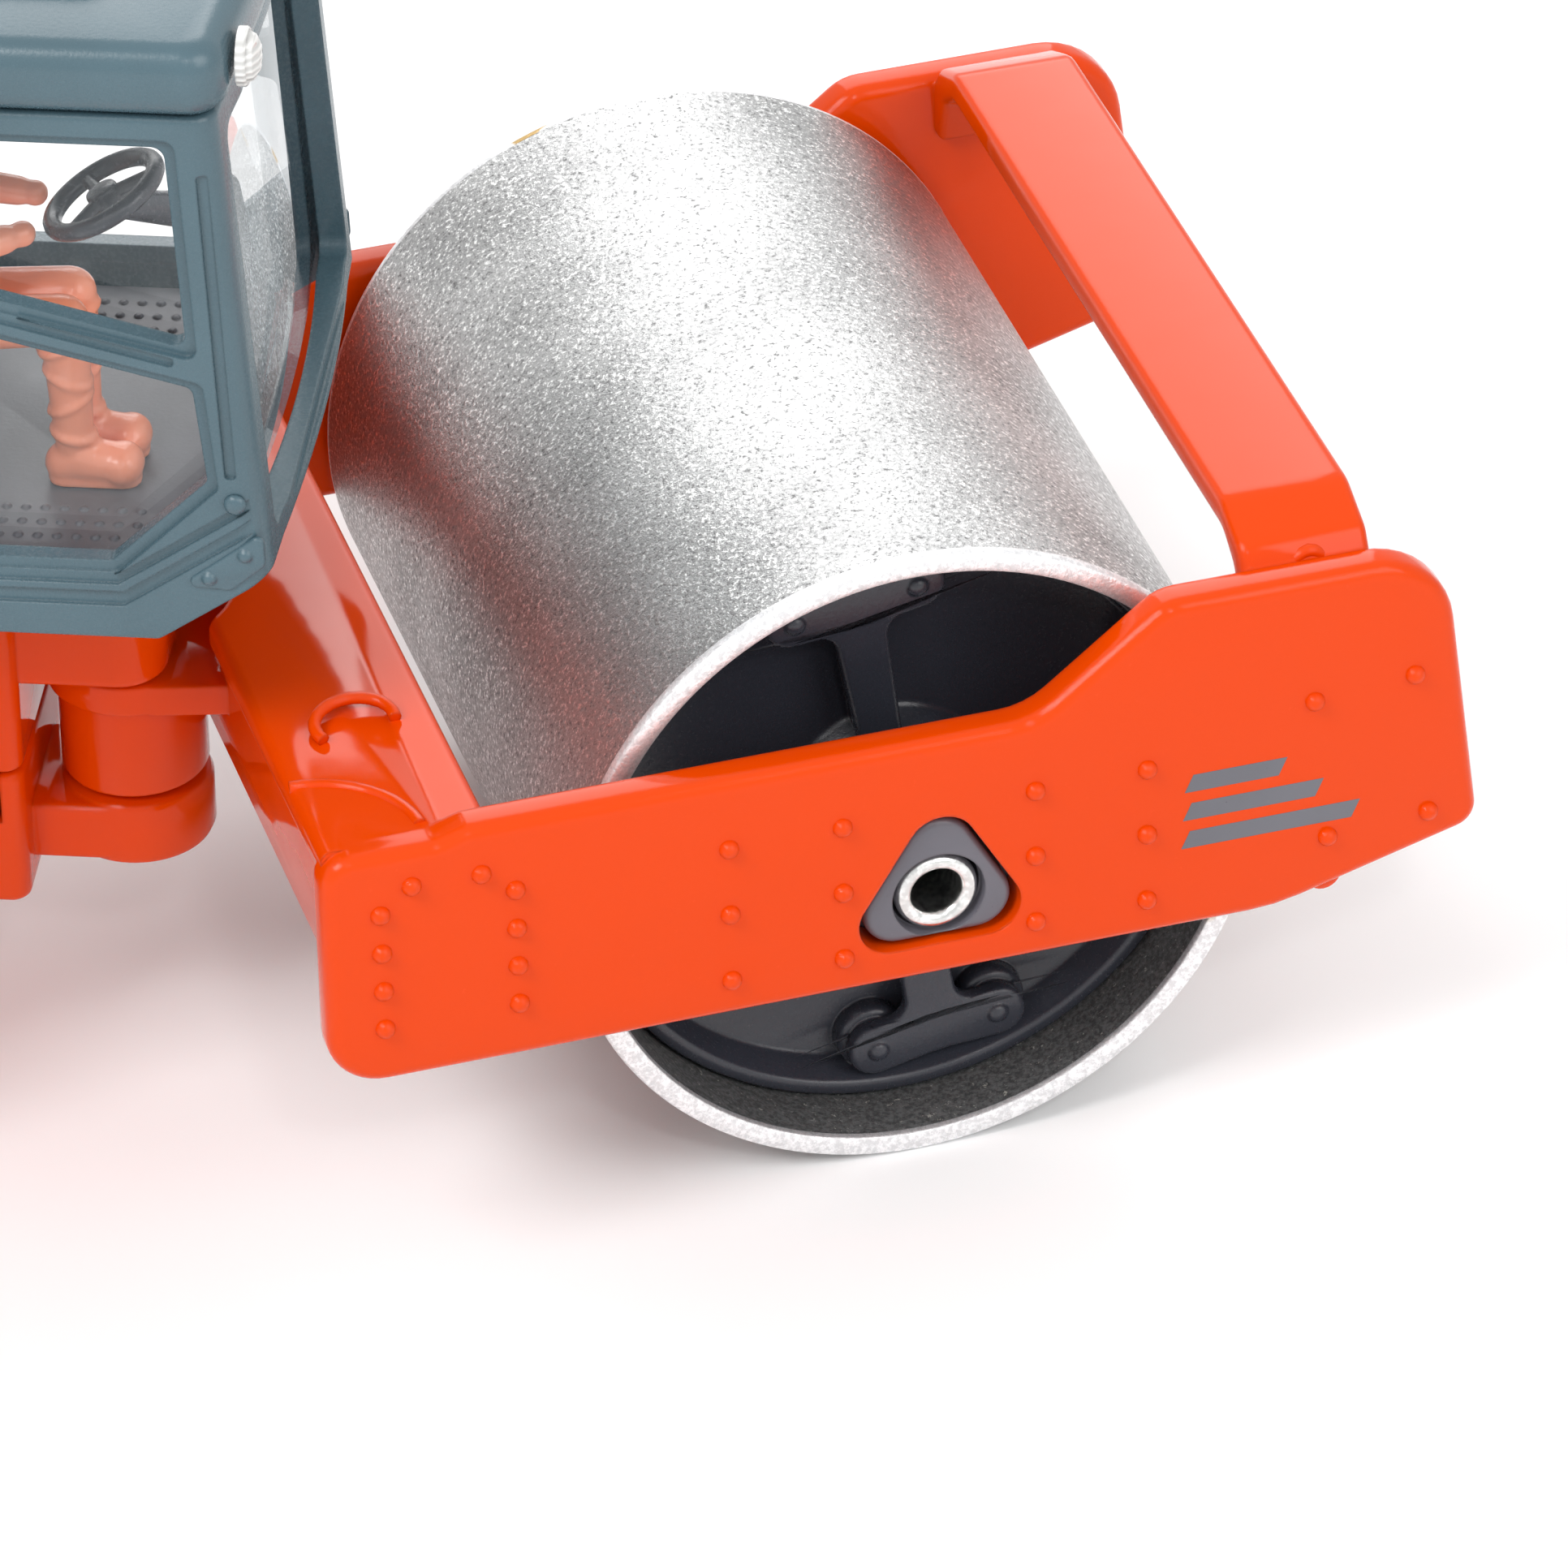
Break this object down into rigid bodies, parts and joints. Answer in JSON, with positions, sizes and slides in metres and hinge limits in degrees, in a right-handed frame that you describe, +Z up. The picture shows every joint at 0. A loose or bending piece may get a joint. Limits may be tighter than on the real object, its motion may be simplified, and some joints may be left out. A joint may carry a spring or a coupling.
{
  "type": "toy road roller",
  "caption": "Die-cast toy road roller with a steerable smooth drum, tractor-tread rear wheels, a glazed cab with a driver, and a hood that opens.",
  "frame": {"origin": "middle of the bounding box at ground level, with the front section turned 23 degrees to the machine's left", "axes": "+X forwards along the rear chassis, +Y to the machine's left, +Z up"},
  "size_m": [0.1324, 0.0674, 0.0613],
  "materials": {
    "orange_paint": "high gloss orange enamel",
    "blue_grey_plastic": "satin moulded plastic",
    "dark_grey_plastic": "satin moulded plastic",
    "floor_grey_plastic": "satin moulded plastic",
    "black_plastic": "satin moulded plastic",
    "black_rubber": "soft moulded rubber",
    "drum_steel": "sparkling bare metal, worn at the rims",
    "bright_steel": "bright bare metal",
    "clear_plastic": "clear moulded plastic",
    "orange_figure_plastic": "soft satin plastic",
    "white_lens": "clear white lens",
    "red_lens": "clear red lens"
  },
  "bodies": {
    "rear_chassis": {"articulation_pin": "bright_steel", "rear_upper_casting": "orange_paint", "rear_lower_casting": "orange_paint", "chassis_screw_front": "bright_steel", "chassis_screw_rear": "bright_steel", "access_step_right": "black_plastic", "access_step_left": "black_plastic", "rear_light_right": "red_lens", "rear_light_left": "red_lens", "rear_axle": "bright_steel", "cab_frame": "blue_grey_plastic", "cab_glazing": "clear_plastic", "cab_floor": "floor_grey_plastic", "cab_roof": "blue_grey_plastic", "driver_seat": "black_plastic", "steering_console": "dark_grey_plastic", "driver": "orange_figure_plastic", "work_light_right": "white_lens", "work_light_left": "white_lens", "hood_hinge_pin": "bright_steel", "engine_block": "dark_grey_plastic", "radiator": "black_plastic"},
    "front_section": {"front_frame": "orange_paint", "bearing_block_right": "dark_grey_plastic", "bearing_block_left": "dark_grey_plastic", "drum_axle": "bright_steel"},
    "drum": {"drum_shell": "drum_steel", "drum_end_right": "dark_grey_plastic", "drum_end_left": "dark_grey_plastic"},
    "wheel_left": {"rim_left": "orange_paint", "tyre_left": "black_rubber"},
    "wheel_right": {"rim_right": "orange_paint", "tyre_right": "black_rubber"},
    "hood": {"hood_shell": "orange_paint", "hood_grille_right": "black_plastic", "hood_grille_left": "black_plastic", "rear_grille": "black_plastic", "exhaust_pipe": "black_plastic"}
  },
  "joints": [
    {"name": "steering", "type": "hinge", "parent": "rear_chassis", "child": "front_section", "pos_m": [0.00563, -0.00998, 0.017], "axis": [0, 0, 1], "range_deg": [-58, 12]},
    {"name": "drum_spin", "type": "hinge", "parent": "front_section", "child": "drum", "pos_m": [0.0338, 0.00198, 0.016], "axis": [-0.3907, 0.9205, 0], "continuous": true},
    {"name": "rear_wheel_left_spin", "type": "hinge", "parent": "rear_chassis", "child": "wheel_left", "pos_m": [-0.03037, 0.00777, 0.0162], "axis": [0, 1, 0], "continuous": true},
    {"name": "rear_wheel_right_spin", "type": "hinge", "parent": "rear_chassis", "child": "wheel_right", "pos_m": [-0.03037, -0.02773, 0.0162], "axis": [0, 1, 0], "continuous": true},
    {"name": "hood_hinge", "type": "hinge", "parent": "rear_chassis", "child": "hood", "pos_m": [-0.06427, -0.00998, 0.0334], "axis": [0, -1, 0], "range_deg": [0, 55]}
  ]
}
